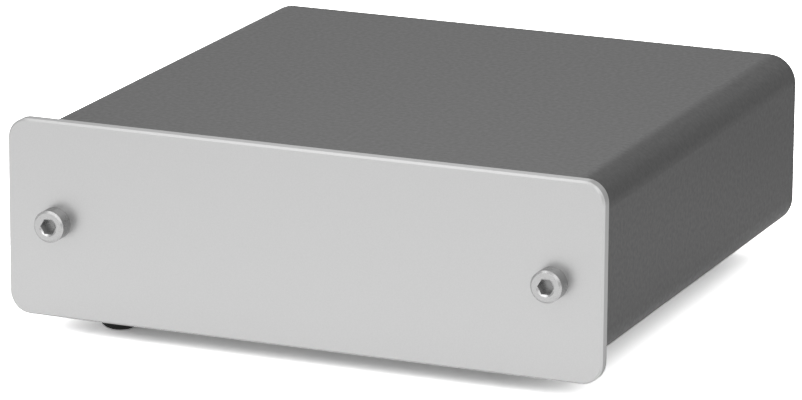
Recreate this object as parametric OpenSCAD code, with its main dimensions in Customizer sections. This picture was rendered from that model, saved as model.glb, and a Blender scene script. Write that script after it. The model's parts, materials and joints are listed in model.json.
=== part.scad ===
// A small desktop phono preamplifier: a silver front panel, held by two socket-head screws,
// closes a dark coated metal sleeve with rounded corners, which stands on four rubber feet.
// Inside, a folded tray carries the circuit board. The sockets and the earth terminal are
// at the rear, and a bank of slide switches is reached through a window in the underside.
// Lengths are millimetres. The front faces -Y, and the origin lies on the surface that the
// object stands on, under the middle of its outer box.

/* [Front panel] */
// Width of the front panel
panel_w = 107; // [104:0.5:140]
// Height of the front panel
panel_h = 34; // [32.5:0.5:48]
// Thickness of the front panel
panel_t = 2; // [1.5:0.1:4]
// Radius of the front panel's corners
panel_corner_r = 3.7; // [2:0.1:6]
// Bevel round the front edge of the front panel
panel_bevel = 0.35; // [0.2:0.05:0.8]
// Distance of a screw's axis from the end of the front panel, at the front and the rear
panel_screw_inset = 8.85; // [7.8:0.05:10]
// How far those screws lie below the front panel's mid-height
panel_screw_drop = 0.5; // [0:0.1:2]

/* [Sleeve] */
// How far the front panel stands out past each side of the sleeve
panel_side_lip = 2.3; // [1:0.1:3.5]
// How far the front panel stands out above the sleeve
panel_top_lip = 1.5; // [0.5:0.1:2.5]
// How far the front panel stands out below the sleeve
panel_bottom_lip = 1.7; // [0.5:0.1:2.5]
// Thickness of the sleeve's wall
sleeve_t = 1.2; // [0.8:0.1:1.6]
// Outer radius of the sleeve's corners
sleeve_corner_r = 5; // [3:0.1:7]
// Depth from the front panel's front face to the rear panel's rear face
body_d = 101; // [96:0.5:140]
// Thickness of the rear panel
rear_t = 1.2; // [1:0.1:2]

/* [Feet] */
// Height of a rubber foot
foot_h = 5.2; // [4:0.1:12]
// Diameter of a rubber foot at the sleeve
foot_d = 9; // [8:0.1:14]
// Diameter of the flat that a foot stands on
foot_flat_d = 3.5; // [3:0.1:6]
// Gap from the side of the sleeve to the edge of a foot
foot_side_gap = 9; // [5:0.1:14]
// Gap from the front panel to the edge of the left front foot
foot_front_gap = 3.7; // [1:0.1:12]
// How much further back the right front foot is stuck on
foot_right_setback = 5; // [0:0.1:8]
// Gap from the rear of the sleeve to the edge of a rear foot
foot_rear_gap = 6; // [1:0.1:15]

/* [Tray] */
// Thickness of the tray's folded sheet
sheet_t = 1; // [0.8:0.1:1.5]
// Clearance between the tray and the inside of the sleeve
tray_gap = 0.2; // [0.1:0.05:0.4]
// Width of each ear at the rear of the tray
ear_w = 9.8; // [9.4:0.1:10.4]
// Margin of the underside window round the switch
window_margin = 1.5; // [1:0.1:3]

/* [Screws] */
// Thread diameter of the panel and board screws
screw_d = 3; // [2.5:0.1:3.2]
// Radial clearance of the holes that the screws pass through
screw_clearance = 0.2; // [0.1:0.05:0.35]
// Diameter of a socket-head screw's head
cap_head_d = 5.5; // [5:0.1:6]
// Height of a socket-head screw's head
cap_head_h = 3; // [2.5:0.1:4]
// Width across the flats of the hexagon socket
hex_af = 2.5; // [2:0.1:3]
// Depth of the hexagon socket
hex_depth = 1.8; // [1:0.1:2]
// Length of a front panel screw below its head
cap_screw_l = 8; // [7:0.5:10]
// Diameter of a pan head
pan_head_d = 5.6; // [5:0.1:6]
// Height of a pan head
pan_head_h = 2; // [1.6:0.1:2.6]
// Outer diameter of a clinch nut
clinch_nut_d = 5.5; // [5:0.1:6]
// Height of a clinch nut
clinch_nut_h = 2.4; // [1.5:0.1:3]

/* [Board] */
// Room between each side of the case and the circuit board
board_side_room = 6; // [5:0.1:7.5]
// Thickness of the circuit board
board_t = 1.6; // [1:0.1:2]
// Room between the tray's front flange and the circuit board
board_front_room = 14; // [12:0.5:16]
// Height of the standoffs under the circuit board
standoff_h = 5.6; // [5.2:0.1:6.5]
// Width across the flats of a standoff
standoff_af = 5; // [4.8:0.1:5.5]
// Distance of a standoff's axis from the board's side and front edges
standoff_inset = 3.6; // [3.2:0.1:4]

/* [Phono sockets] */
// Outer diameter of a socket's shell
socket_d = 8.3; // [8:0.05:8.6]
// How far a shell stands out of the rear panel
socket_reach = 8.5; // [7:0.1:10]
// Distance between the two sockets of a pair
socket_pitch = 13; // [12:0.1:14]
// Height of the sockets' axes above the circuit board
socket_axis_h = 6.6; // [6.3:0.1:7.5]
// Diameter of the hole that takes a plug's pin
pin_hole_d = 3.2; // [3:0.05:3.4]
// Depth of the hole that takes a plug's pin
pin_hole_l = 8; // [6:0.1:8.5]

/* [Earth terminal] */
// Thread diameter of the earth terminal
post_d = 4; // [3.5:0.1:4.5]
// Rise of the earth terminal's thread in one turn
post_pitch = 0.7; // [0.5:0.05:1]
// How far the threaded post stands out of the rear panel
post_reach = 11.4; // [10.8:0.1:13]
// Diameter of the thumb nut
thumb_nut_d = 9; // [8:0.1:10]
// Length of the thumb nut
thumb_nut_l = 6.5; // [5:0.1:7]
// Number of ridges round the thumb nut
thumb_nut_ridges = 28; // [20:1:32]

/* [Power inlet] */
// Width of the power inlet's body
inlet_w = 9; // [8.6:0.1:10]
// Height of the power inlet's body
inlet_h = 11; // [10.6:0.1:12]
// Depth of the power inlet's body
inlet_d = 14; // [13.5:0.1:15]
// Diameter of the power inlet's bore
inlet_bore_d = 6.3; // [6:0.05:6.5]
// Diameter of the power inlet's centre pin
inlet_pin_d = 2.1; // [1.8:0.05:2.5]
// Height of the power inlet's axis above the circuit board
inlet_axis_h = 6.6; // [6.2:0.1:6.8]

/* [Selector switch] */
// Distance between neighbouring sliders
slider_pitch = 2.54; // [2.4:0.02:3]
// Length of the switch body along its sliders
switch_l = 9.8; // [8.6:0.1:11]
// Height of the switch body
switch_h = 5; // [4.5:0.1:5.1]
// Travel of a slider
slider_travel = 2; // [1.2:0.1:2.2]

/* [Electronic parts] */
// Diameter of a supply capacitor
supply_cap_d = 10; // [8:0.5:10.5]
// Room between a supply capacitor and the roof of the case
supply_cap_room = 4; // [1:0.5:8]
// Diameter of a signal capacitor
signal_cap_d = 5; // [4:0.1:5.5]
// Height of a signal capacitor
signal_cap_h = 11; // [8:0.5:12]
// Length of a film capacitor
film_cap_l = 7.2; // [6:0.1:7.6]
// Thickness of a film capacitor
film_cap_t = 2.8; // [2:0.1:3.5]
// Height of a film capacitor
film_cap_h = 7.5; // [6:0.1:10]
// Length of an op-amp's package
op_amp_l = 9.8; // [9:0.1:10.2]
// Width of an op-amp's package
op_amp_w = 6.4; // [6:0.1:7]
// Length of a resistor's body
resistor_l = 6.3; // [5:0.1:6.6]
// Diameter of a resistor's body
resistor_d = 2.4; // [2:0.1:2.6]
// Width of a voltage regulator
regulator_w = 10.2; // [9:0.1:10.4]
// Room between a regulator's tab and the roof of the case
regulator_room = 1; // [0.5:0.1:3]
// Diameter of a supply choke
choke_d = 8; // [6:0.1:8.5]

/* [Hidden] */
$fn = 48;

// Overrun of every cut past the face it opens
cut = 0.6;
// Radial gap between a screw or a bush and what grips it
grip_gap = 0.03;
// Gap between two faces that slide or close on each other
running_gap = 0.1;

// Height of a foot's straight skirt, as a share of the foot's height
foot_skirt_share = 0.1;
// Number of steps in a foot's bulge
foot_steps = 8;

// Small sizes of the screws
cap_head_edge = 0.35;
hex_mouth_d = 3.3;
screw_tip = 0.4;
rear_screw_l = 6;
board_screw_l = 5.5;
pan_head_rim = 0.7;
cross_w = 0.7;
cross_l = 3;
cross_depth = 1.1;

// Small sizes of the sockets
shell_t = 0.85;
shell_rim = 0.25;
shell_embed = 3;
shell_neck = 0.3;
shell_shoulder = 0.5;
panel_hole_gap = 0.4;
insulator_recess = 0.5;
contact_t = 0.4;
contact_base = 1.2;
block_side = 6.5;
block_d = 10;
block_h = 13.4;
block_screw_d = 2.6;
block_screw_l = 7;
block_screw_rise = 4.9;
block_hole_d = 3;

// Small sizes of the earth terminal
post_head_af = 7;
post_head_h = 2.8;
post_tip = 0.5;
thread_depth = 0.35;
lug_t = 0.6;
lug_d = 7.8;
lug_tail_w = 2.8;
wire_d = 1.3;
wire_bend_r = 2.6;
wire_room = 0.5;
wire_lap_share = 0.4;
lock_nut_af = 7;
lock_nut_h = 2.4;
washer_d = 8;
washer_t = 0.8;
ridge_depth = 0.35;
thumb_nut_edge = 0.5;
thumb_bore_gap = 0.15;

// Small sizes of the power inlet
inlet_nose_d = 8;
inlet_nose_gap = 0.25;
inlet_bore_l = 10;
inlet_pin_recess = 0.8;
inlet_collar_d = 3.4;
inlet_collar_l = 1;
spring_w = 2.4;
spring_t = 0.3;
spring_l = 7;
spring_rise = 1;
spring_slot_depth = 0.75;
spring_foot_share = 0.25;
spring_crest_shares = [0.55, 0.7];

// The selector switch has one slider for each of its four nodes
slider_count = 4;
switch_margin = 0.8;
slot_w = 1.4;
slot_depth = 2.2;
slot_l = 4.3;
slider_stub = 0.7;

// Small sizes of the electronic parts
lead_d = 0.6;
cap_groove = 0.25;
cap_groove_h = 1.4;
cap_rim = 0.5;
film_cap_foot = 0.4;
op_amp_h = 3.3;
op_amp_lift = 0.6;
op_amp_leg_w = 1.1;
op_amp_leg_t = 0.3;
op_amp_leg_pitch = 2.54;
op_amp_leg_out = 0.8;
resistor_lead_span = 9.6;
resistor_lift = 0.2;
resistor_cap_l = 1.2;
resistor_waist = 0.15;
diode_l = 5.2;
diode_d = 2.7;
disc_cap_d = 4.4;
disc_cap_t = 1.6;
disc_cap_lift = 1.2;
disc_cap_leg_pitch = 2.5;
regulator_t = 4.5;
regulator_h = 9.2;
regulator_lift = 3.4;
regulator_tab_t = 1.3;
regulator_hole_share = 0.56;
regulator_leg_w = 0.9;
regulator_leg_pitch = 2.54;
choke_h = 8;
choke_waist = 1.2;
choke_flange = 1.3;

// The case
sleeve_w = panel_w - 2 * panel_side_lip;
sleeve_h = panel_h - panel_top_lip - panel_bottom_lip;
sleeve_z0 = foot_h;
panel_z0 = sleeve_z0 - panel_bottom_lip;
inner_w = sleeve_w - 2 * sleeve_t;
inner_h = sleeve_h - 2 * sleeve_t;
inner_r = sleeve_corner_r - sleeve_t;
inner_z0 = sleeve_z0 + sleeve_t;
inner_top = inner_z0 + inner_h;
overall_d = cap_head_h + body_d + max(socket_reach, post_reach);
front_y = -overall_d / 2 + cap_head_h;
panel_back_y = front_y + panel_t;
rear_y = front_y + body_d;
rear_in_y = rear_y - rear_t;
sleeve_l = rear_in_y - panel_back_y;

// The screws that hold the front and rear panels
screw_x = panel_w / 2 - panel_screw_inset;
screw_z = panel_z0 + panel_h / 2 - panel_screw_drop;
screw_hole_r = screw_d / 2 + screw_clearance;

// The tray
tray_w = inner_w - 2 * tray_gap;
tray_z0 = inner_z0 + tray_gap;
tray_h = inner_h - 2 * tray_gap;
tray_r = inner_r - tray_gap;
tray_floor_w = tray_w - 2 * tray_r;
tray_top = tray_z0 + sheet_t;
ear_in_x = tray_w / 2 - ear_w;

// The circuit board
board_edge_gap = 0.4;
board_w = inner_w - 2 * board_side_room;
board_y0 = panel_back_y + sheet_t + board_front_room;
board_y1 = rear_in_y - sheet_t - board_edge_gap;
board_l = board_y1 - board_y0;
board_z0 = tray_top + standoff_h;
board_z1 = board_z0 + board_t;
standoff_rear_inset = max(inlet_d, block_d) + pan_head_d / 2;
standoff_xs = [-board_w / 2 + standoff_inset, board_w / 2 - standoff_inset];
standoff_ys = [board_y0 + standoff_inset, board_y1 - standoff_rear_inset];

// The row of connectors along the rear: equal gaps lie between them and the ears
socket_z = board_z1 + socket_axis_h;
inlet_z = board_z1 + inlet_axis_h;
block_w = socket_pitch + 2 * block_side;
earth_room = max(thumb_nut_d, lug_d) + 2 * ridge_depth;
rear_gap = (2 * ear_in_x - inlet_w - 2 * block_w - earth_room) / 5;
inlet_x = ear_in_x - rear_gap - inlet_w / 2;
output_x = inlet_x - inlet_w / 2 - rear_gap - block_w / 2;
earth_x = output_x - block_w / 2 - rear_gap - earth_room / 2;
input_x = earth_x - earth_room / 2 - rear_gap - block_w / 2;
shell_bore_r = socket_d / 2 - shell_t;
shell_neck_r = socket_d / 2 - shell_neck;
contact_r = pin_hole_d / 2 + contact_t;

// The lug's tail and the wire on it, which turns over just under the roof of the case
lug_tail_top = inner_top - wire_room - wire_d / 2 - wire_bend_r;
wire_lap = wire_lap_share * (lug_tail_top - socket_z - post_head_af / 2);

// The turning parts of the earth terminal
washer_y = rear_y + lock_nut_h + running_gap;
thumb_nut_y = washer_y + washer_t + running_gap;

// The selector switch, which hangs under the board
switch_x_share = -0.18;
switch_y_share = 0.52;
switch_w = slider_count * slider_pitch + 2 * switch_margin;
switch_x = switch_x_share * board_w;
switch_y = board_y0 + switch_y_share * board_l;
switch_z0 = board_z0 - switch_h;
slider_l = slot_l - slider_travel - 2 * running_gap;
function slider_x(i) = switch_x + (i - (slider_count - 1) / 2) * slider_pitch;

// Places of the electronic parts, as shares of the board's width and length
channel_shares = [-0.315, -0.065];
op_amp_share = 0.42;
film_cap_side_share = 0.056;
film_cap_shares = [0.57, 0.65];
signal_cap_side_shares = [-0.07, 0, 0.07];
signal_cap_share = 0.76;
resistor_side_share = 0.062;
resistor_shares = [0.1, 0.155, 0.21, 0.265];
disc_cap_side_share = 0.1;
supply_cap_x_share = 0.36;
supply_cap_shares = [0.5, 0.67];
regulator_x_share = 0.19;
regulator_shares = [0.46, 0.62];
diode_x_share = 0.16;
choke_x_share = 0.36;
choke_shares = [0.14, 0.29];

// Heights that follow the roof of the case
supply_cap_h = inner_top - board_z1 - supply_cap_room;
regulator_tab_h = inner_top - board_z1 - regulator_lift - regulator_h - regulator_room;
regulator_hole_d = regulator_hole_share * regulator_tab_h;

// A rounded rectangle, centred across, that stands on the height z0
module round_rect(w, z0, h, r) {
    translate([-w / 2 + r, z0]) square([w - 2 * r, h]);
    translate([-w / 2, z0 + r]) square([w, h - 2 * r]);
    for (x = [-w / 2 + r, w / 2 - r], z = [z0 + r, z0 + h - r])
        translate([x, z]) circle(r);
}

// An upright plate: its outline lies across and up, and it grows towards +Y
module upright(y, t) {
    translate([0, y + t, 0]) rotate([90, 0, 0]) linear_extrude(t) children();
}

// A round rod that grows towards +Y
module rod(l, r) {
    rotate([-90, 0, 0]) cylinder(h = l, r = r);
}

// A solid of revolution about the Y axis, drawn as points of radius and Y
module turned(points) {
    rotate([-90, 0, 0]) rotate_extrude() polygon(points);
}

// A hexagonal prism that grows towards +Y, with a flat on top
module hex_rod(l, af) {
    rotate([-90, 0, 0]) cylinder(h = l, r = af / 2 / cos(30), $fn = 6);
}

// A plate whose front edge is bevelled all round
module bevelled_plate(w, z0, h, t, r, bevel) {
    upright(front_y + bevel, t - bevel) round_rect(w, z0, h, r);
    translate([-w / 2 + r, front_y, z0]) rotate([90, 0, 90]) linear_extrude(w - 2 * r)
        polygon([[0, bevel], [0, h - bevel], [bevel, h], [bevel, 0]]);
    translate([0, front_y, z0 + r]) linear_extrude(h - 2 * r)
        polygon([[-w / 2 + bevel, 0], [w / 2 - bevel, 0], [w / 2, bevel], [-w / 2, bevel]]);
    for (x = [-w / 2 + r, w / 2 - r], z = [z0 + r, z0 + h - r])
        translate([x, front_y, z]) rotate([-90, 0, 0]) cylinder(h = bevel, r1 = r - bevel, r2 = r);
}

// A socket-head cap screw: its head seats at Y = 0 and its shank grows towards +Y
module cap_screw() {
    difference() {
        turned([
            [0, -cap_head_h], [cap_head_d / 2 - cap_head_edge, -cap_head_h],
            [cap_head_d / 2, -cap_head_h + cap_head_edge], [cap_head_d / 2, 0],
            [screw_d / 2, 0], [screw_d / 2, cap_screw_l - screw_tip],
            [screw_d / 2 - screw_tip, cap_screw_l], [0, cap_screw_l]
        ]);
        translate([0, -cap_head_h - cut, 0]) hex_rod(hex_depth + cut, hex_af);
        translate([0, -cap_head_h, 0])
            turned([[0, -cut], [hex_mouth_d / 2, -cut], [hex_mouth_d / 2, 0],
                    [0, hex_mouth_d / 2 * tan(30)]]);
    }
}

// A pan-head screw with a cross recess: its head seats at Y = 0, its shank grows towards +Y
module pan_screw(d, l) {
    dome = pan_head_h - pan_head_rim;
    dome_r = (pow(pan_head_d / 2, 2) + pow(dome, 2)) / (2 * dome);
    difference() {
        union() {
            intersection() {
                translate([0, -pan_head_h, 0]) rod(pan_head_h, pan_head_d / 2);
                translate([0, dome_r - pan_head_h, 0]) sphere(dome_r);
            }
            turned([[0, -pan_head_rim], [d / 2, -pan_head_rim], [d / 2, l - screw_tip],
                    [d / 2 - screw_tip, l], [0, l]]);
        }
        for (size = [[cross_l, cross_w], [cross_w, cross_l]])
            translate([-size[0] / 2, -pan_head_h - cut, -size[1] / 2])
                cube([size[0], cut + cross_depth, size[1]]);
    }
}

module front_panel() {
    color("gainsboro")
    difference() {
        bevelled_plate(panel_w, panel_z0, panel_h, panel_t, panel_corner_r, panel_bevel);
        for (x = [-screw_x, screw_x])
            translate([x, front_y - cut, screw_z]) rod(panel_t + 2 * cut, screw_hole_r);
    }
}

module front_panel_screws() {
    color("silver")
    for (x = [-screw_x, screw_x])
        translate([x, front_y, screw_z]) cap_screw();
}

// The window in the underside through which the switch is reached
module switch_window() {
    w = switch_w + 2 * window_margin;
    l = switch_l + 2 * window_margin;
    translate([switch_x - w / 2, switch_y - l / 2, sleeve_z0 - cut])
        cube([w, l, tray_top - sleeve_z0 + 2 * cut]);
}

module outer_sleeve() {
    color("dimgray")
    difference() {
        upright(panel_back_y, sleeve_l) difference() {
            round_rect(sleeve_w, sleeve_z0, sleeve_h, sleeve_corner_r);
            round_rect(inner_w, inner_z0, inner_h, inner_r);
        }
        switch_window();
    }
}

module tray_outline() {
    round_rect(tray_w, tray_z0, tray_h, tray_r);
}

module chassis_tray() {
    color("lightgray")
    difference() {
        union() {
            translate([-tray_floor_w / 2, panel_back_y, tray_z0])
                cube([tray_floor_w, sleeve_l, sheet_t]);
            upright(panel_back_y, sheet_t) tray_outline();
            upright(rear_in_y - sheet_t, sheet_t) intersection() {
                tray_outline();
                for (x = [-tray_w / 2, ear_in_x])
                    translate([x, tray_z0]) square([ear_w, tray_h]);
            }
        }
        for (x = [-screw_x, screw_x])
            translate([x, panel_back_y - cut, screw_z]) rod(sleeve_l + 2 * cut, screw_hole_r);
        switch_window();
    }
}

module clinch_nuts() {
    color("silver")
    for (x = [-screw_x, screw_x], y = [panel_back_y + sheet_t, rear_in_y - sheet_t - clinch_nut_h])
        translate([x, y, screw_z]) difference() {
            rod(clinch_nut_h, clinch_nut_d / 2);
            translate([0, -cut, 0]) rod(clinch_nut_h + 2 * cut, screw_d / 2 + grip_gap);
        }
}

module rear_panel() {
    color("dimgray")
    difference() {
        upright(rear_in_y, rear_t) round_rect(sleeve_w, sleeve_z0, sleeve_h, sleeve_corner_r);
        translate([0, rear_in_y - cut, 0]) {
            for (x = [-screw_x, screw_x])
                translate([x, 0, screw_z]) rod(rear_t + 2 * cut, screw_hole_r);
            for (x = [input_x, output_x]) {
                for (side = [-1, 1])
                    translate([x + side * socket_pitch / 2, 0, socket_z])
                        rod(rear_t + 2 * cut, shell_neck_r + panel_hole_gap);
                translate([x, 0, socket_z + block_screw_rise])
                    rod(rear_t + 2 * cut, block_hole_d / 2);
            }
            translate([earth_x, 0, socket_z]) rod(rear_t + 2 * cut, post_d / 2 + screw_clearance);
            translate([inlet_x, 0, inlet_z])
                rod(rear_t + 2 * cut, inlet_nose_d / 2 + inlet_nose_gap);
        }
    }
}

module rear_panel_screws() {
    color("silver")
    for (x = [-screw_x, screw_x])
        translate([x, rear_y, screw_z]) rotate([0, 0, 180]) pan_screw(screw_d, rear_screw_l);
}

// A domed rubber foot, stuck under the sleeve. It bulges evenly down to a small flat.
module foot(side, back) {
    x = side * (sleeve_w / 2 - foot_side_gap - foot_d / 2);
    front_gap = foot_front_gap + (side > 0 ? foot_right_setback : 0);
    y = back ? rear_in_y - foot_rear_gap - foot_d / 2 : panel_back_y + front_gap + foot_d / 2;
    bulge_w = (foot_d - foot_flat_d) / 2;
    bulge_h = foot_h * (1 - foot_skirt_share);
    color([0.12, 0.12, 0.12])
    translate([x, y, 0]) rotate_extrude() polygon(concat(
        [[0, foot_h], [foot_d / 2, foot_h]],
        [for (i = [0 : foot_steps]) let (a = 90 * i / foot_steps)
            [foot_flat_d / 2 + bulge_w * cos(a), bulge_h * (1 - sin(a))]],
        [[0, 0]]
    ));
}

module circuit_board() {
    color("darkgreen")
    difference() {
        translate([-board_w / 2, board_y0, board_z0]) cube([board_w, board_l, board_t]);
        for (x = standoff_xs, y = standoff_ys)
            translate([x, y, board_z0 - cut]) cylinder(h = board_t + 2 * cut, r = screw_hole_r);
    }
}

module board_standoffs() {
    color("silver")
    for (x = standoff_xs, y = standoff_ys)
        translate([x, y, tray_top]) difference() {
            cylinder(h = standoff_h, r = standoff_af / 2 / cos(30), $fn = 6);
            translate([0, 0, -cut])
                cylinder(h = standoff_h + 2 * cut, r = screw_d / 2 + grip_gap);
        }
}

module board_screws() {
    color("silver")
    for (x = standoff_xs, y = standoff_ys)
        translate([x, y, board_z1]) rotate([-90, 0, 0]) pan_screw(screw_d, board_screw_l);
}

// The moulded block that carries the two sockets of a pair
module socket_block(x) {
    color([0.13, 0.13, 0.13])
    difference() {
        translate([x - block_w / 2, rear_in_y - block_d, board_z1])
            cube([block_w, block_d, block_h]);
        for (side = [-1, 1])
            translate([x + side * socket_pitch / 2, rear_in_y - shell_embed, socket_z])
                rod(shell_embed + cut, shell_neck_r + grip_gap);
        translate([x, rear_in_y - block_screw_l, socket_z + block_screw_rise])
            rod(block_screw_l + cut, block_screw_d / 2 + grip_gap);
    }
}

module socket_block_screws() {
    color("silver")
    for (x = [input_x, output_x])
        translate([x, rear_y, socket_z + block_screw_rise]) rotate([0, 0, 180])
            pan_screw(block_screw_d, block_screw_l);
}

// A pair of shells: a narrower neck passes through the rear panel into the block
module socket_shells(x) {
    neck_l = shell_embed + rear_t + shell_shoulder;
    l = shell_embed + rear_t + socket_reach;
    r = socket_d / 2;
    color("gold")
    for (side = [-1, 1])
        translate([x + side * socket_pitch / 2, rear_in_y - shell_embed, socket_z])
            turned([[shell_bore_r, 0], [shell_neck_r, 0], [shell_neck_r, neck_l], [r, neck_l],
                    [r, l - shell_rim], [r - shell_rim, l], [shell_bore_r + shell_rim, l],
                    [shell_bore_r, l - shell_rim]]);
}

// The coloured ring between a shell and its centre contact
module socket_insulator(x) {
    l = shell_embed + rear_t + socket_reach - insulator_recess;
    translate([x, rear_in_y - shell_embed, socket_z])
        turned([[contact_r + grip_gap, 0], [shell_bore_r - grip_gap, 0],
                [shell_bore_r - grip_gap, l], [contact_r + grip_gap, l]]);
}

module centre_contacts(x) {
    l = shell_embed + rear_t + socket_reach - insulator_recess;
    hole_l = min(pin_hole_l, l - contact_base);
    color("gold")
    for (side = [-1, 1])
        translate([x + side * socket_pitch / 2, rear_in_y - shell_embed, socket_z])
            difference() {
                rod(l, contact_r);
                translate([0, l - hole_l, 0]) rod(hole_l + cut, pin_hole_d / 2);
            }
}

module power_inlet_body() {
    slot_z = -inlet_bore_d / 2 - spring_slot_depth;
    color([0.1, 0.1, 0.1])
    translate([inlet_x, 0, inlet_z]) difference() {
        union() {
            translate([-inlet_w / 2, rear_in_y - inlet_d, -inlet_axis_h])
                cube([inlet_w, inlet_d, inlet_h]);
            translate([0, rear_in_y, 0]) rod(rear_t, inlet_nose_d / 2);
        }
        translate([0, rear_y - inlet_bore_l, 0]) rod(inlet_bore_l + cut, inlet_bore_d / 2);
        translate([-spring_w / 2 - running_gap, rear_y - inlet_bore_l, slot_z])
            cube([spring_w + 2 * running_gap, spring_l + 2 * running_gap, spring_slot_depth
                  + inlet_bore_d / 2]);
    }
}

module power_inlet_pin() {
    l = inlet_bore_l - inlet_pin_recess;
    r = inlet_pin_d / 2;
    color("silver")
    translate([inlet_x, rear_y - inlet_bore_l, inlet_z])
        turned([[0, 0], [inlet_collar_d / 2, 0], [inlet_collar_d / 2, inlet_collar_l],
                [r, inlet_collar_l], [r, l - r / 2], [r / 2, l], [0, l]]);
}

// The sprung leaf that touches a plug's barrel: bent sheet in a slot under the bore
module power_inlet_spring() {
    crest = spring_rise + spring_t;
    crest_l = spring_l * spring_crest_shares;
    foot_l = spring_l * spring_foot_share;
    color("silver")
    translate([inlet_x - spring_w / 2, rear_y - inlet_bore_l + running_gap,
               inlet_z - inlet_bore_d / 2 - spring_slot_depth])
        rotate([90, 0, 90]) linear_extrude(spring_w) polygon([
            [0, 0], [foot_l, 0], [crest_l[0], spring_rise], [crest_l[1], spring_rise],
            [spring_l, spring_t], [spring_l, 2 * spring_t], [crest_l[1], crest],
            [crest_l[0], crest], [foot_l, spring_t], [0, spring_t]
        ]);
}

// The earth terminal's post: a hexagon head inside the case, and outside it a thread of
// ridges that lie one pitch apart
module earth_post() {
    head_y = rear_in_y - lug_t - post_head_h;
    end_y = rear_y + post_reach;
    thread_end = end_y - post_tip;
    ridges = floor((post_reach - post_tip) / post_pitch);
    r = post_d / 2;
    color("silver")
    translate([earth_x, 0, socket_z]) {
        translate([0, head_y, 0]) hex_rod(post_head_h, post_head_af);
        turned(concat(
            [[0, head_y], [r, head_y]],
            [for (i = [ridges : -1 : 1], part = [0, 1])
                [r - part * thread_depth, thread_end - (i - part / 2) * post_pitch]],
            [[r, thread_end], [r - post_tip, end_y], [0, end_y]]
        ));
    }
}

module earth_lug() {
    color("gold")
    translate([earth_x, 0, socket_z]) upright(rear_in_y - lug_t, lug_t) difference() {
        union() {
            circle(lug_d / 2);
            translate([-lug_tail_w / 2, 0]) square([lug_tail_w, lug_tail_top - socket_z]);
        }
        circle(post_d / 2 + running_gap);
    }
}

// The insulated wire: it laps the lug's tail, turns over and comes down on the board
module earth_wire() {
    color("green")
    translate([earth_x, rear_in_y - lug_t - wire_d / 2 - grip_gap, 0]) {
        translate([0, 0, lug_tail_top - wire_lap]) cylinder(h = wire_lap, r = wire_d / 2);
        translate([0, -wire_bend_r, lug_tail_top]) rotate([90, 0, 90])
            rotate_extrude(angle = 180) translate([wire_bend_r, 0]) circle(wire_d / 2);
        translate([0, -2 * wire_bend_r, board_z1])
            cylinder(h = lug_tail_top - board_z1, r = wire_d / 2);
    }
}

module earth_lock_nut() {
    color("silver")
    translate([earth_x, rear_y, socket_z]) difference() {
        hex_rod(lock_nut_h, lock_nut_af);
        translate([0, -cut, 0]) rod(lock_nut_h + 2 * cut, post_d / 2 + grip_gap);
    }
}

module earth_washer() {
    color("gold")
    translate([earth_x, washer_y, socket_z]) difference() {
        rod(washer_t, washer_d / 2);
        translate([0, -cut, 0]) rod(washer_t + 2 * cut, post_d / 2 + thumb_bore_gap);
    }
}

// The ridged nut: straight ridges between two bevelled ends that lie just under their roots
module earth_thumb_nut() {
    r = thumb_nut_d / 2;
    root_r = r - ridge_depth;
    end_r = root_r - grip_gap;
    ridge_l = thumb_nut_l - 2 * thumb_nut_edge;
    color("gold")
    translate([earth_x, thumb_nut_y, socket_z]) difference() {
        union() {
            translate([0, thumb_nut_edge, 0]) rotate([-90, 0, 0]) linear_extrude(ridge_l) polygon([
                for (i = [0 : 2 * thumb_nut_ridges - 1]) let (a = 180 * i / thumb_nut_ridges)
                    (i % 2 == 0 ? r : root_r) * [cos(a), sin(a)]
            ]);
            turned([[0, 0], [end_r - thumb_nut_edge, 0], [end_r, thumb_nut_edge],
                    [end_r, thumb_nut_l - thumb_nut_edge], [end_r - thumb_nut_edge, thumb_nut_l],
                    [0, thumb_nut_l]]);
        }
        translate([0, -cut, 0]) rod(thumb_nut_l + 2 * cut, post_d / 2 + thumb_bore_gap);
    }
}

module selector_switch_body() {
    color("firebrick")
    difference() {
        translate([switch_x - switch_w / 2, switch_y - switch_l / 2, switch_z0])
            cube([switch_w, switch_l, switch_h]);
        for (i = [0 : slider_count - 1])
            translate([slider_x(i) - slot_w / 2, switch_y - slot_l / 2, switch_z0 - cut])
                cube([slot_w, slot_l, slot_depth + cut]);
    }
}

// A slider rests at the front end of its slot
module selector_slider(i) {
    w = slot_w - 2 * running_gap;
    h = slider_stub + slot_depth - running_gap;
    color("white")
    translate([slider_x(i) - w / 2, switch_y - slot_l / 2 + running_gap, switch_z0 - slider_stub])
        cube([w, slider_l, h]);
}

// Puts a part on the board at shares of its width, from the middle, and its length
module on_board(x_share, y_share) {
    translate([x_share * board_w, board_y0 + y_share * board_l, board_z1]) children();
}

module op_amps() {
    color([0.12, 0.12, 0.12])
    for (channel = channel_shares) on_board(channel, op_amp_share) {
        translate([-op_amp_w / 2, -op_amp_l / 2, op_amp_lift]) cube([op_amp_w, op_amp_l, op_amp_h]);
        for (side = [-1, 1], i = [-1.5 : 1 : 1.5]) {
            x = side * (op_amp_w / 2 + op_amp_leg_out / 2);
            y = i * op_amp_leg_pitch - op_amp_leg_w / 2;
            shoulder_z = op_amp_lift + op_amp_h / 2;
            translate([x - op_amp_leg_out / 2, y, shoulder_z - op_amp_leg_t])
                cube([op_amp_leg_out, op_amp_leg_w, op_amp_leg_t]);
            translate([x + side * (op_amp_leg_out - op_amp_leg_t) / 2 - op_amp_leg_t / 2, y, 0])
                cube([op_amp_leg_t, op_amp_leg_w, shoulder_z]);
        }
    }
}

module film_capacitors() {
    color("crimson")
    for (channel = channel_shares, side = [-1, 1], y_share = film_cap_shares)
        on_board(channel + side * film_cap_side_share, y_share) difference() {
            translate([-film_cap_l / 2, -film_cap_t / 2, 0])
                cube([film_cap_l, film_cap_t, film_cap_h]);
            translate([-film_cap_l / 4, -film_cap_t / 2 - cut, -cut])
                cube([film_cap_l / 2, film_cap_t + 2 * cut, film_cap_foot + cut]);
        }
}

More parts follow.
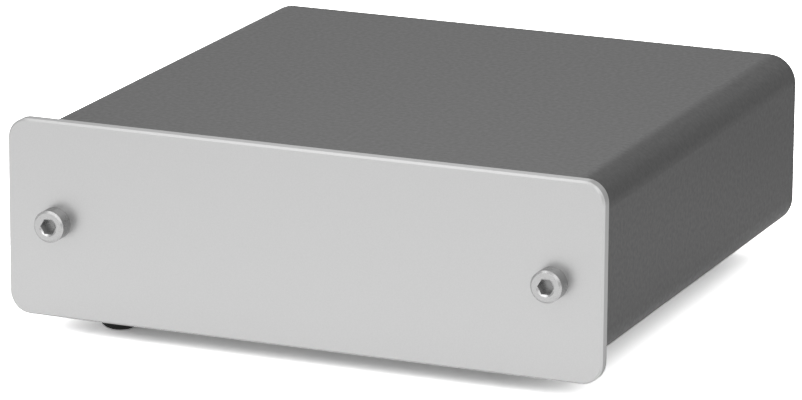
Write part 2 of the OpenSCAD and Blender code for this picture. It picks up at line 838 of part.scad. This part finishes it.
// An upright electrolytic capacitor with a groove near its foot and a rounded-off top
module can_capacitor(d, h) {
    r = d / 2;
    rotate_extrude() polygon([
        [0, 0], [r, 0], [r, cap_groove_h], [r - cap_groove, cap_groove_h + cap_groove],
        [r, cap_groove_h + 2 * cap_groove], [r, h - cap_rim], [r - cap_rim, h], [0, h]
    ]);
}

module signal_capacitors() {
    color([0.1, 0.12, 0.2])
    for (channel = channel_shares, side = signal_cap_side_shares)
        on_board(channel + side, signal_cap_share) can_capacitor(signal_cap_d, signal_cap_h);
}

module supply_capacitors() {
    color([0.1, 0.12, 0.2])
    for (y_share = supply_cap_shares)
        on_board(supply_cap_x_share, y_share) can_capacitor(supply_cap_d, supply_cap_h);
}

// A part with a wire from each end: its body lies across, and the wires turn down to the board
module axial_part(l, d, waist) {
    z = resistor_lift + d / 2;
    lead_x = resistor_lead_span / 2;
    r = d / 2;
    translate([-l / 2, 0, z]) rotate([0, 90, 0]) rotate_extrude() polygon([
        [0, 0], [r, 0], [r, resistor_cap_l], [r - waist, resistor_cap_l + waist],
        [r - waist, l - resistor_cap_l - waist], [r, l - resistor_cap_l], [r, l], [0, l]
    ]);
    for (side = [-1, 1]) {
        translate([side * lead_x, 0, 0]) cylinder(h = z, r = lead_d / 2);
        translate([side * lead_x, 0, z]) sphere(lead_d / 2);
        translate([side > 0 ? l / 2 - lead_d : -lead_x, 0, z]) rotate([0, 90, 0])
            cylinder(h = lead_x - l / 2 + lead_d, r = lead_d / 2);
    }
}

module resistors() {
    color("lightblue")
    for (channel = channel_shares, side = [-1, 1], y_share = resistor_shares)
        on_board(channel + side * resistor_side_share, y_share)
            axial_part(resistor_l, resistor_d, resistor_waist);
}

module diodes() {
    color([0.15, 0.15, 0.15])
    for (y_share = resistor_shares)
        on_board(diode_x_share, y_share) axial_part(diode_l, diode_d, 0);
}

module ceramic_capacitors() {
    color("orange")
    for (channel = channel_shares, side = [-1, 1])
        on_board(channel + side * disc_cap_side_share, op_amp_share) {
            translate([0, -disc_cap_t / 2, disc_cap_lift + disc_cap_d / 2])
                rod(disc_cap_t, disc_cap_d / 2);
            for (leg = [-1, 1]) translate([leg * disc_cap_leg_pitch / 2, 0, 0])
                cylinder(h = disc_cap_lift + disc_cap_d / 2, r = lead_d / 2);
        }
}

module regulators() {
    color([0.15, 0.15, 0.15])
    for (y_share = regulator_shares) on_board(regulator_x_share, y_share) {
        translate([-regulator_w / 2, -regulator_t / 2, regulator_lift])
            cube([regulator_w, regulator_t, regulator_h]);
        difference() {
            translate([-regulator_w / 2, -regulator_t / 2, regulator_lift + regulator_h])
                cube([regulator_w, regulator_tab_t, regulator_tab_h]);
            translate([0, -regulator_t / 2 - cut,
                       regulator_lift + regulator_h + regulator_tab_h / 2])
                rod(regulator_tab_t + 2 * cut, regulator_hole_d / 2);
        }
        for (i = [-1 : 1]) translate([i * regulator_leg_pitch - regulator_leg_w / 2, 0, 0])
            cube([regulator_leg_w, lead_d, regulator_lift]);
    }
}

module supply_chokes() {
    r = choke_d / 2;
    color([0.2, 0.2, 0.22])
    for (y_share = choke_shares) on_board(choke_x_share, y_share) rotate_extrude() polygon([
        [0, 0], [r, 0], [r, choke_flange], [r - choke_waist, choke_flange],
        [r - choke_waist, choke_h - choke_flange], [r, choke_h - choke_flange],
        [r, choke_h], [0, choke_h]
    ]);
}

front_panel();
front_panel_screws();
outer_sleeve();
chassis_tray();
clinch_nuts();
rear_panel();
rear_panel_screws();
foot(-1, false);  // foot_front_left
foot(1, false);  // foot_front_right
foot(-1, true);  // foot_rear_left
foot(1, true);  // foot_rear_right
circuit_board();
board_standoffs();
board_screws();
socket_block(input_x);  // input_socket_block
socket_block(output_x);  // output_socket_block
socket_block_screws();
socket_shells(input_x);  // input_socket_shells
socket_shells(output_x);  // output_socket_shells
color("white") socket_insulator(input_x + socket_pitch / 2);  // input_left_insulator
color("firebrick") socket_insulator(input_x - socket_pitch / 2);  // input_right_insulator
color("white") socket_insulator(output_x + socket_pitch / 2);  // output_left_insulator
color("firebrick") socket_insulator(output_x - socket_pitch / 2);  // output_right_insulator
centre_contacts(input_x);  // input_centre_contacts
centre_contacts(output_x);  // output_centre_contacts
power_inlet_body();
power_inlet_pin();
power_inlet_spring();
earth_post();
earth_lug();
earth_wire();
earth_lock_nut();
earth_washer();
earth_thumb_nut();
selector_switch_body();
selector_slider(0);  // selector_slider_1
selector_slider(1);  // selector_slider_2
selector_slider(2);  // selector_slider_3
selector_slider(3);  // selector_slider_4
op_amps();
film_capacitors();
signal_capacitors();
ceramic_capacitors();
supply_capacitors();
resistors();
diodes();
regulators();
supply_chokes();
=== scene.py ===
"""Looks of a small desktop phono preamplifier: finishes, fine detail, light, floor and camera."""
import json
import math

import bpy
from mathutils import Matrix, Vector


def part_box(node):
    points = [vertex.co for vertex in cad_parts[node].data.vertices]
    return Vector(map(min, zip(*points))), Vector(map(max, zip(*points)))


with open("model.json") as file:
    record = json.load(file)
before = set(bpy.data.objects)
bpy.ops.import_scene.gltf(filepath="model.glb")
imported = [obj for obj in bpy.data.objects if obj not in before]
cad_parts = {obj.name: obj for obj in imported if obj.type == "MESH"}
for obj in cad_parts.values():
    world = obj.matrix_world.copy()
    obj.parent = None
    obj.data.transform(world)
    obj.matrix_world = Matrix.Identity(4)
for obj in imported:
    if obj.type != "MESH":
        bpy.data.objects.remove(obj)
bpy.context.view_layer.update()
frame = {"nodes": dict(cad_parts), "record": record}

MM = 0.001

# The photograph's frame, and the camera that it was taken with: it stands to the right of the
# object, above it and far away, and the middle of the front panel lands on AIM_PIXEL
IMAGE_W = 802
IMAGE_H = 400
SENSOR_W = 36.0
FOCAL_PIXELS = 5267.6
CAMERA_DISTANCE = 0.86577
CAMERA_YAW = math.radians(22.938)
CAMERA_PITCH = math.radians(15.088)
CAMERA_ROLL = math.radians(0.316)
AIM_PIXEL = (299.1, 249.4)

# The studio's paper: its colour as it lights the object, as a gloss sees it and as the camera
# sees it, with the light that is added for the last two. The light in the gloss goes by the
# place from front to back, as (place, strength): it makes up for the object's own shade on the
# paper in front, and ends behind the object.
FLOOR_SIZE = 12.0
PAPER = 0.8
PAPER_IN_GLOSS = 0.74
LIFT_IN_GLOSS = ((-0.25, 0.22), (-0.15, 0.25), (-0.08, 0.37), (-0.05, 0.30), (0.03, 0.24),
                 (0.12, 0.0))
PAPER_SEEN = 3.8
LIFT_SEEN = 0.1

# The light: an even room, and soft boxes close by as (place, size, power)
ROOM_LIGHT = 0.62
SOFT_BOXES = {
    "key_light": ((-0.06, -0.38, 0.34), 0.35, 0.46),
    "front_light": ((0.35, -0.52, 0.42), 0.60, 0.72),
    "top_light": ((-0.20, -0.12, 0.55), 0.30, 0.16),
    "back_light": ((-0.15, 0.36, 0.36), 0.20, 0.22),
    "edge_light": ((0.15, 0.38, 0.28), 0.28, 0.04),
}

# How far a surface's normal points to the front or back where it counts as edge-on to the
# front, and where it counts as facing it
EDGE_ON_TO_FACING = (0.3, 0.65)

# The cap screws: the radius over which a socket's wall ends and the head's face begins, and the
# depth over which a socket is painted darker as painted shade
SOCKET_RIM = (1.5 * MM, 1.65 * MM)
SOCKET_DEPTH = (0.3 * MM, 1.7 * MM)

# The size of the board's tracks, and the distance from a grain's middle over which one ends
TRACK_SIZE = 3 * MM
TRACK_EDGE = (0.32, 0.36)

# The resistors' colour bands: their pitch, and where in its wave a band begins and is whole
BAND_PITCH = 1.6 * MM
BAND_EDGE = (0.86, 0.9)


def camera_axes():
    """The camera's right, up and forward directions."""
    forward = Vector((-math.sin(CAMERA_YAW) * math.cos(CAMERA_PITCH),
                      math.cos(CAMERA_YAW) * math.cos(CAMERA_PITCH), -math.sin(CAMERA_PITCH)))
    level = Vector((math.cos(CAMERA_YAW), math.sin(CAMERA_YAW), 0))
    upright = level.cross(forward)
    right = math.cos(CAMERA_ROLL) * level + math.sin(CAMERA_ROLL) * upright
    up = math.cos(CAMERA_ROLL) * upright - math.sin(CAMERA_ROLL) * level
    return right, up, forward


def add_camera():
    """The photograph's camera, aimed so that the front panel's middle lands on AIM_PIXEL."""
    low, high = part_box("front_panel")
    aim = Vector(((low[0] + high[0]) / 2, low[1], (low[2] + high[2]) / 2))
    right, up, forward = camera_axes()
    across = (AIM_PIXEL[0] - IMAGE_W / 2) / FOCAL_PIXELS
    down = (AIM_PIXEL[1] - IMAGE_H / 2) / FOCAL_PIXELS
    data = bpy.data.cameras.new("camera")
    data.sensor_fit = "HORIZONTAL"
    data.sensor_width = SENSOR_W
    data.lens = FOCAL_PIXELS / IMAGE_W * SENSOR_W
    data.clip_start = 0.01
    data.clip_end = 50.0
    camera = bpy.data.objects.new("camera", data)
    turn = Matrix((right, up, -forward)).transposed()
    place = aim - CAMERA_DISTANCE * (forward + across * right - down * up)
    camera.matrix_world = Matrix.Translation(place) @ turn.to_4x4()
    bpy.context.scene.collection.objects.link(camera)
    bpy.context.scene.camera = camera


def feed(links, value, socket):
    """Sets a socket to a number, or links another node's value to it."""
    if isinstance(value, float):
        socket.default_value = value
    else:
        links.new(value, socket)


class Finish:
    """A procedural material: a shader and the textures that drive it, in object space."""

    def __init__(self, name):
        self.material = bpy.data.materials.new(name)
        self.material.use_nodes = True
        tree = self.material.node_tree
        self.nodes = tree.nodes
        self.links = tree.links
        self.shader = self.nodes["Principled BSDF"]
        self.place = self.nodes.new("ShaderNodeTexCoord").outputs["Object"]
        self.height = None

    def set(self, **values):
        """Sets the shader's own sockets: an underscore in a name stands for a blank."""
        for name, value in values.items():
            self.shader.inputs[name.replace("_", " ")].default_value = value
        return self

    def stretched(self, scale):
        """The object's coordinates, scaled along each axis."""
        mapping = self.nodes.new("ShaderNodeMapping")
        mapping.inputs["Scale"].default_value = scale
        self.links.new(self.place, mapping.inputs["Vector"])
        return mapping.outputs["Vector"]

    def noise(self, size, detail=3.0, roughness=0.5, stretch=(1, 1, 1)):
        """Noise whose features are about as large as size, in metres."""
        texture = self.nodes.new("ShaderNodeTexNoise")
        texture.inputs["Scale"].default_value = 1 / size
        texture.inputs["Detail"].default_value = detail
        texture.inputs["Roughness"].default_value = roughness
        self.links.new(self.stretched(stretch), texture.inputs["Vector"])
        return texture.outputs["Fac"]

    def cells(self, size, randomness):
        """Round grains about as large as size, in metres: 0 at a grain's middle."""
        texture = self.nodes.new("ShaderNodeTexVoronoi")
        texture.inputs["Scale"].default_value = 1 / size
        texture.inputs["Randomness"].default_value = randomness
        self.links.new(self.place, texture.inputs["Vector"])
        return texture.outputs["Distance"]

    def spread(self, value, low, high, low_in=0.3, high_in=0.7):
        """Maps a value, as it goes from low_in to high_in, to the range from low to high."""
        ramp = self.nodes.new("ShaderNodeMapRange")
        ramp.inputs["From Min"].default_value = low_in
        ramp.inputs["From Max"].default_value = high_in
        ramp.inputs["To Min"].default_value = low
        ramp.inputs["To Max"].default_value = high
        self.links.new(value, ramp.inputs["Value"])
        return ramp.outputs["Result"]

    def part_of(self, vector, axis):
        """One coordinate of a vector."""
        parts = self.nodes.new("ShaderNodeSeparateXYZ")
        self.links.new(vector, parts.inputs["Vector"])
        return parts.outputs[axis]

    def maths(self, operation, *values):
        """The result of an operation on numbers and other nodes' values."""
        node = self.nodes.new("ShaderNodeMath")
        node.operation = operation
        for value, socket in zip(values, node.inputs):
            feed(self.links, value, socket)
        return node.outputs["Value"]

    def edge_on(self, most):
        """0 where a surface faces the front or back, and most where it is edge-on to them."""
        normal = self.nodes.new("ShaderNodeTexCoord").outputs["Normal"]
        facing = self.maths("ABSOLUTE", self.part_of(normal, "Y"))
        return self.spread(facing, most, 0, *EDGE_ON_TO_FACING)

    def mixed(self, factor, low_colour, high_colour):
        """A colour between two colours."""
        mix = self.nodes.new("ShaderNodeMix")
        mix.data_type = "RGBA"
        mix.inputs["A"].default_value = (*low_colour, 1)
        mix.inputs["B"].default_value = (*high_colour, 1)
        self.links.new(factor, mix.inputs["Factor"])
        return mix.outputs["Result"]

    def colour(self, factor, low_colour, high_colour):
        """Colours the surface between two colours."""
        self.links.new(self.mixed(factor, low_colour, high_colour),
                       self.shader.inputs["Base Color"])

    def roughness(self, value, low, high):
        """Sets the roughness between low and high, by a texture's value."""
        self.links.new(self.spread(value, low, high), self.shader.inputs["Roughness"])

    def bump(self, value, depth):
        """Raises the surface by depth, in metres. Bumps stack."""
        node = self.nodes.new("ShaderNodeBump")
        node.inputs["Distance"].default_value = depth
        self.links.new(value, node.inputs["Height"])
        if self.height is not None:
            self.links.new(self.height, node.inputs["Normal"])
        self.height = node.outputs["Normal"]
        self.links.new(self.height, self.shader.inputs["Normal"])

    def soft_edges(self, radius):
        """Rounds the shading of sharp edges over a radius."""
        bevel = self.nodes.new("ShaderNodeBevel")
        bevel.samples = 4
        bevel.inputs["Radius"].default_value = radius
        self.height = bevel.outputs["Normal"]
        self.links.new(self.height, self.shader.inputs["Normal"])


def grey(level):
    """A colour without hue."""
    return (level, level, level)


def satin_aluminium():
    """Bead-blasted and clear-anodised: a fine even grain under a soft metal gloss. The faces
    edge-on to the front, such as the cut edges and the top, are painted darker: painted shade."""
    f = Finish("satin_aluminium").set(Metallic=1.0)
    grain = f.noise(0.25 * MM, detail=4)
    grain_share = 0.13
    # Painted shade: the faces edge-on to the front get a darker colour
    grain_and_painted_shade = f.maths("ADD", f.edge_on(1 - grain_share), f.spread(grain, grain_share, 0))
    f.colour(grain_and_painted_shade, grey(0.68), grey(0.45))
    f.roughness(grain, 0.34, 0.39)
    f.bump(grain, 0.002 * MM)
    return f.material


def nickel_steel():
    """Nickel plate with faint wear."""
    f = Finish("nickel_steel").set(Metallic=1.0)
    f.soft_edges(0.08 * MM)
    wear = f.noise(1.5 * MM)
    f.colour(f.spread(wear, 0, 1), grey(0.50), grey(0.58))
    f.roughness(wear, 0.22, 0.3)
    f.bump(f.noise(0.2 * MM), 0.0015 * MM)
    return f.material


def cap_screw_nickel():
    """Bright turned faces, with painted shade on the sides and deep in the hexagon sockets."""
    f = Finish("cap_screw_nickel").set(Metallic=1.0)
    f.soft_edges(0.08 * MM)
    low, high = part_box("front_panel_screws")
    head_radius = (high[2] - low[2]) / 2
    across = f.maths("SUBTRACT", f.maths("ABSOLUTE", f.part_of(f.place, "X")),
                     high[0] - head_radius)
    up = f.maths("SUBTRACT", f.part_of(f.place, "Z"), low[2] + head_radius)
    radius = f.maths("SQRT", f.maths("ADD", f.maths("MULTIPLY", across, across),
                                     f.maths("MULTIPLY", up, up)))
    # Painted shade: the heads' sides and the sockets' depths get a darker colour
    side_shade = f.maths("MULTIPLY", f.edge_on(1), f.spread(radius, 0, 1, *SOCKET_RIM))
    socket_shade = f.spread(f.part_of(f.place, "Y"), 0, 1, *(low[1] + depth for depth in SOCKET_DEPTH))
    f.colour(f.maths("MAXIMUM", side_shade, socket_shade), grey(0.58), grey(0.28))
    f.roughness(f.noise(1.5 * MM), 0.22, 0.3)
    f.bump(f.noise(0.2 * MM), 0.0015 * MM)
    return f.material


def dark_powder_coat():
    """Fine textured powder coat: a nearly black skin whose sheen grows at grazing angles."""
    f = Finish("dark_powder_coat")
    f.soft_edges(0.25 * MM)
    grain = f.noise(0.35 * MM, detail=4, roughness=0.6)
    mottle = f.noise(0.8 * MM, detail=2)
    f.colour(f.spread(grain, 0, 1), grey(0.024), grey(0.038))
    f.roughness(mottle, 0.32, 0.42)
    f.bump(grain, 0.009 * MM)
    f.bump(mottle, 0.007 * MM)
    return f.material


def zinc_sheet():
    """Zinc plate with a mottled spangle, drawn along the sheet."""
    f = Finish("zinc_sheet").set(Metallic=1.0)
    f.soft_edges(0.1 * MM)
    spangle = f.noise(3 * MM, detail=2)
    f.colour(f.spread(spangle, 0, 1), (0.52, 0.54, 0.57), (0.64, 0.65, 0.67))
    f.roughness(spangle, 0.3, 0.42)
    f.bump(f.noise(0.3 * MM, stretch=(1, 0.1, 1)), 0.003 * MM)
    return f.material


def black_screws():
    """Blackened steel."""
    f = Finish("black_screws").set(Metallic=0.6)
    f.soft_edges(0.08 * MM)
    grain = f.noise(0.3 * MM)
    f.colour(f.spread(grain, 0, 1), grey(0.025), grey(0.05))
    f.roughness(grain, 0.35, 0.5)
    f.bump(grain, 0.004 * MM)
    return f.material


def foot_rubber():
    """Dull black rubber."""
    f = Finish("foot_rubber")
    grain = f.noise(0.3 * MM, detail=4)
    f.colour(f.spread(grain, 0, 1), grey(0.012), grey(0.022))
    f.roughness(grain, 0.7, 0.88)
    f.bump(grain, 0.01 * MM)
    return f.material


def board_green():
    """Green resist over a pattern of raised copper."""
    f = Finish("board_green").set(Coat_Weight=0.3, Coat_Roughness=0.15)
    tracks = f.spread(f.cells(TRACK_SIZE, randomness=0.3), 0, 1, *TRACK_EDGE)
    f.colour(tracks, (0.02, 0.13, 0.045), (0.012, 0.2, 0.07))
    f.roughness(f.noise(0.5 * MM), 0.35, 0.45)
    f.bump(tracks, 0.02 * MM)
    return f.material


def moulding(name, low_colour, high_colour, low_gloss=0.42, high_gloss=0.55):
    """Moulded plastic with a faint eroded grain."""
    f = Finish(name)
    f.soft_edges(0.15 * MM)
    grain = f.noise(0.25 * MM, detail=4)
    f.colour(f.spread(f.noise(2 * MM), 0, 1), low_colour, high_colour)
    f.roughness(grain, low_gloss, high_gloss)
    f.bump(grain, 0.006 * MM)
    return f.material


def gold_plate():
    """Gold plate with faint wear."""
    f = Finish("gold_plate").set(Metallic=1.0)
    f.soft_edges(0.08 * MM)
    wear = f.noise(1.2 * MM)
    f.colour(f.spread(wear, 0, 1), (0.78, 0.55, 0.20), (0.88, 0.67, 0.30))
    f.roughness(wear, 0.16, 0.26)
    f.bump(f.noise(0.15 * MM), 0.0015 * MM)
    return f.material


def resistor_blue():
    """A lacquered body with colour bands round it."""
    f = Finish("resistor_blue")
    bands = f.nodes.new("ShaderNodeTexWave")
    bands.bands_direction = "X"
    bands.inputs["Scale"].default_value = 1 / BAND_PITCH / math.tau
    f.links.new(f.place, bands.inputs["Vector"])
    f.colour(f.spread(bands.outputs["Fac"], 0, 1, *BAND_EDGE),
             (0.16, 0.36, 0.52), (0.30, 0.08, 0.03))
    f.roughness(f.noise(0.5 * MM), 0.25, 0.35)
    return f.material


# The moulded plastics and what looks like them, as (darkest colour, lightest colour) and, where
# it isn't that of moulding(), the range of the roughness
MOULDINGS = {
    "black_moulding": (grey(0.018), grey(0.026)),
    "white_moulding": ((0.74, 0.74, 0.71), (0.8, 0.8, 0.78)),
    "red_moulding": ((0.48, 0.02, 0.02), (0.56, 0.03, 0.03)),
    "wire_sleeve": ((0.02, 0.2, 0.04), (0.04, 0.28, 0.07)),
    "chip_black": (grey(0.02), grey(0.035), 0.5, 0.65),
    "film_red": ((0.42, 0.04, 0.03), (0.52, 0.06, 0.05), 0.25, 0.35),
    "can_sleeve": ((0.015, 0.02, 0.07), (0.02, 0.035, 0.1), 0.2, 0.3),
    "ceramic_tan": ((0.55, 0.28, 0.08), (0.66, 0.36, 0.12), 0.3, 0.4),
    "ferrite": (grey(0.03), grey(0.07), 0.6, 0.75),
}

# The finishes with a function of their own
FINISHES = {
    "satin_aluminium": satin_aluminium,
    "nickel_steel": nickel_steel,
    "cap_screw_nickel": cap_screw_nickel,
    "dark_powder_coat": dark_powder_coat,
    "zinc_sheet": zinc_sheet,
    "black_screws": black_screws,
    "foot_rubber": foot_rubber,
    "board_green": board_green,
    "gold_plate": gold_plate,
    "resistor_blue": resistor_blue,
}

# The nodes whose finish is a special case of their slot's
OWN_FINISHES = {"front_panel_screws": "cap_screw_nickel"}


def new_finish(name):
    """The material of a finish."""
    if name in MOULDINGS:
        return moulding(name, *MOULDINGS[name])
    return FINISHES[name]()


def dress_nodes():
    """Gives every CAD node its own finish, or that of its material slot."""
    made = {}
    for part in frame["record"]["subparts"]:
        name = OWN_FINISHES.get(part["node"], part["material_slot"])
        if name not in made:
            made[name] = new_finish(name)
        for slot in frame["nodes"][part["node"]].material_slots:
            slot.material = made[name]


def add_floor():
    """White paper that shows the camera and a gloss more light than it casts on the object."""
    mesh = bpy.data.meshes.new("studio_floor")
    half = FLOOR_SIZE / 2
    mesh.from_pydata([(-half, -half, 0), (half, -half, 0), (half, half, 0), (-half, half, 0)],
                     [], [(0, 1, 2, 3)])
    floor = bpy.data.objects.new("studio_floor", mesh)
    bpy.context.scene.collection.objects.link(floor)
    material = bpy.data.materials.new("studio_floor")
    material.use_nodes = True
    nodes, links = material.node_tree.nodes, material.node_tree.links
    nodes.remove(nodes["Principled BSDF"])

    def paper(colour, lift):
        """Matt paper with light added, by a number or another node's value."""
        matt = nodes.new("ShaderNodeBsdfDiffuse")
        matt.inputs["Color"].default_value = (*grey(colour), 1)
        glow = nodes.new("ShaderNodeEmission")
        feed(links, lift, glow.inputs["Strength"])
        both = nodes.new("ShaderNodeAddShader")
        links.new(matt.outputs["BSDF"], both.inputs[0])
        links.new(glow.outputs["Emission"], both.inputs[1])
        return both.outputs["Shader"]

    def front_to_back(stops):
        """A value that goes by the place from front to back, given at several places."""
        (near, nearest), *between, (far, farthest) = stops
        place = nodes.new("ShaderNodeSeparateXYZ")
        links.new(nodes.new("ShaderNodeTexCoord").outputs["Object"], place.inputs["Vector"])
        share = nodes.new("ShaderNodeMapRange")
        share.inputs["From Min"].default_value = near
        share.inputs["From Max"].default_value = far
        links.new(place.outputs["Y"], share.inputs["Value"])
        ramp = nodes.new("ShaderNodeValToRGB")
        marks = ramp.color_ramp.elements
        marks[0].color = (*grey(nearest), 1)
        marks[1].color = (*grey(farthest), 1)
        for y, value in between:
            marks.new((y - near) / (far - near)).color = (*grey(value), 1)
        links.new(share.outputs["Result"], ramp.inputs["Fac"])
        return ramp.outputs["Color"]

    path = nodes.new("ShaderNodeLightPath")
    shown = paper(PAPER, 0.0)
    for rays, colour, lift in (("Is Glossy Ray", PAPER_IN_GLOSS, front_to_back(LIFT_IN_GLOSS)),
                               ("Is Transmission Ray", PAPER_SEEN, LIFT_SEEN),
                               ("Is Camera Ray", PAPER_SEEN, LIFT_SEEN)):
        choice = nodes.new("ShaderNodeMixShader")
        links.new(path.outputs[rays], choice.inputs["Fac"])
        links.new(shown, choice.inputs[1])
        links.new(paper(colour, lift), choice.inputs[2])
        shown = choice.outputs["Shader"]
    links.new(shown, nodes["Material Output"].inputs["Surface"])
    mesh.materials.append(material)


def add_soft_box(name, place, size, power):
    """A square light that faces the object."""
    data = bpy.data.lights.new(name, "AREA")
    data.shape = "SQUARE"
    data.size = size
    data.energy = power
    light = bpy.data.objects.new(name, data)
    light.location = place
    light.rotation_euler = (-Vector(place)).to_track_quat("-Z", "Y").to_euler()
    bpy.context.scene.collection.objects.link(light)


def add_world():
    """The even light of the room."""
    world = bpy.data.worlds.new("studio")
    bpy.context.scene.world = world
    world.use_nodes = True
    background = world.node_tree.nodes["Background"]
    background.inputs["Color"].default_value = (1, 1, 1, 1)
    background.inputs["Strength"].default_value = ROOM_LIGHT


add_camera()
dress_nodes()
add_floor()
add_world()
for light_name, light in SOFT_BOXES.items():
    add_soft_box(light_name, *light)
bpy.context.scene.view_settings.view_transform = "Standard"
